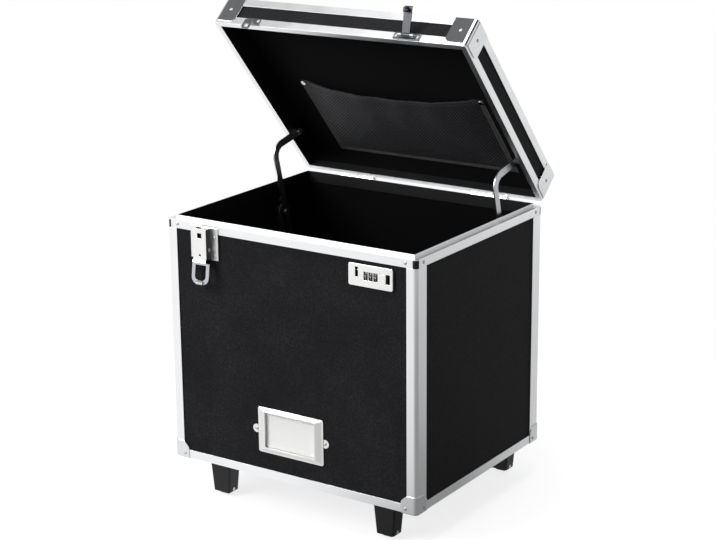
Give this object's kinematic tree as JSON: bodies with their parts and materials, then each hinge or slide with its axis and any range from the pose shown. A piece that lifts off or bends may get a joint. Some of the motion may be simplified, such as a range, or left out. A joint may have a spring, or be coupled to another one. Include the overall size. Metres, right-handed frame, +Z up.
{
  "type": "rolling file case",
  "caption": "Black box on small roller feet for hanging files, framed in aluminium, with a hinged lid on bent stays, a lever latch and a hasp with a dial lock.",
  "frame": {"origin": "on the floor under the middle of the body", "axes": "+X to the right seen from the front, +Y to the rear (the hinge side), +Z up"},
  "size_m": [0.4046, 0.3813, 0.696],
  "materials": {
    "board": "black laminate over board, fine pebble grain",
    "lining": "matt black felt",
    "frame_aluminium": "satin extrusion",
    "cap_steel": "pressed steel",
    "plated_steel": "bright plated",
    "steel": "plated steel",
    "black_plastic": "moulded",
    "dial_plastic": "moulded, pale figures",
    "roller_rubber": "matt",
    "card": "blank white card",
    "net": "knitted net",
    "ribbon": "woven ribbon",
    "press_stud": "plated"
  },
  "bodies": {
    "case": {"panel_front": "board", "panel_back": "board", "panel_left": "board", "panel_right": "board", "panel_bottom": "board", "body_lining": "lining", "corner_posts": "frame_aluminium", "top_rim": "frame_aluminium", "base_rim": "frame_aluminium", "base_caps": "cap_steel", "latch_base": "plated_steel", "latch_cover": "plated_steel", "lock_plate": "plated_steel", "label_holder": "plated_steel", "hinge_body_leaves": "plated_steel", "body_rivets": "steel", "hinge_pins": "steel", "latch_pin": "steel", "lock_axle": "steel", "foot_axles": "steel", "foot_screws": "steel", "stay_guides": "steel", "rim_plugs": "black_plastic", "lock_case": "black_plastic", "foot_housings": "black_plastic", "label_card": "card"},
    "lid": {"lid_panel_top": "board", "lid_panel_front": "board", "lid_panel_back": "board", "lid_panel_left": "board", "lid_panel_right": "board", "lid_lining": "lining", "lid_rim": "frame_aluminium", "lid_edge": "frame_aluminium", "lid_caps": "cap_steel", "lid_rivets": "steel", "hinge_lid_leaves": "plated_steel", "stay_studs": "steel", "latch_catch": "plated_steel", "hasp_base": "plated_steel", "hasp_pin": "steel", "pocket_net": "net", "pocket_hem": "ribbon", "pocket_studs": "press_stud"},
    "stay_left": {"stay_left": "steel", "stay_pin_left": "steel"},
    "stay_right": {"stay_right": "steel", "stay_pin_right": "steel"},
    "latch_lever": {"latch_lever": "plated_steel"},
    "hasp": {"hasp_arm": "plated_steel"},
    "lock_button": {"lock_button": "plated_steel", "lock_bolt": "steel"},
    "dial_1": {"lock_dial_1": "dial_plastic"},
    "dial_2": {"lock_dial_2": "dial_plastic"},
    "dial_3": {"lock_dial_3": "dial_plastic"},
    "roller_front_left": {"roller_front_left": "roller_rubber"},
    "roller_front_right": {"roller_front_right": "roller_rubber"},
    "roller_rear_left": {"roller_rear_left": "roller_rubber"},
    "roller_rear_right": {"roller_rear_right": "roller_rubber"}
  },
  "joints": [
    {"name": "lid_hinge", "type": "hinge", "parent": "case", "child": "lid", "pos_m": [0, 0.17, 0.4002], "axis": [1, 0, 0], "range_deg": [0, 49]},
    {"name": "stay_left_pivot", "type": "hinge", "parent": "lid", "child": "stay_left", "pos_m": [-0.1825, 0.12266, 0.47035], "axis": [1, 0, 0], "range_deg": [-20.09, 0]},
    {"name": "stay_right_pivot", "type": "hinge", "parent": "lid", "child": "stay_right", "pos_m": [0.1825, 0.12266, 0.47035], "axis": [1, 0, 0], "range_deg": [-20.09, 0]},
    {"name": "latch_turn", "type": "hinge", "parent": "case", "child": "latch_lever", "pos_m": [-0.136, -0.1704, 0.367], "axis": [1, 0, 0], "range_deg": [0, 8]},
    {"name": "hasp_swing", "type": "hinge", "parent": "lid", "child": "hasp", "pos_m": [0.111, -0.0472, 0.65951], "axis": [1, 0, 0], "range_deg": [-30, 140]},
    {"name": "dial_1_turn", "type": "hinge", "parent": "case", "child": "dial_1", "pos_m": [0.125, -0.1604, 0.3685], "axis": [1, 0, 0], "continuous": true},
    {"name": "dial_2_turn", "type": "hinge", "parent": "case", "child": "dial_2", "pos_m": [0.1325, -0.1604, 0.3685], "axis": [1, 0, 0], "continuous": true},
    {"name": "dial_3_turn", "type": "hinge", "parent": "case", "child": "dial_3", "pos_m": [0.14, -0.1604, 0.3685], "axis": [1, 0, 0], "continuous": true},
    {"name": "button_slide", "type": "slide", "parent": "case", "child": "lock_button", "axis": [1, 0, 0], "range_m": [0, 0.005], "stiffness_N_per_m": 120},
    {"name": "roller_front_left_spin", "type": "hinge", "parent": "case", "child": "roller_front_left", "pos_m": [-0.137, -0.133, 0.0082], "axis": [1, 0, 0], "continuous": true},
    {"name": "roller_front_right_spin", "type": "hinge", "parent": "case", "child": "roller_front_right", "pos_m": [0.137, -0.133, 0.0082], "axis": [1, 0, 0], "continuous": true},
    {"name": "roller_rear_left_spin", "type": "hinge", "parent": "case", "child": "roller_rear_left", "pos_m": [-0.15, 0.149, 0.0082], "axis": [1, 0, 0], "continuous": true},
    {"name": "roller_rear_right_spin", "type": "hinge", "parent": "case", "child": "roller_rear_right", "pos_m": [0.15, 0.149, 0.0082], "axis": [1, 0, 0], "continuous": true}
  ],
  "couplings": [
    {"joint": "stay_left_pivot", "follows": "lid_hinge", "ratio": -0.41},
    {"joint": "stay_right_pivot", "follows": "lid_hinge", "ratio": -0.41}
  ]
}
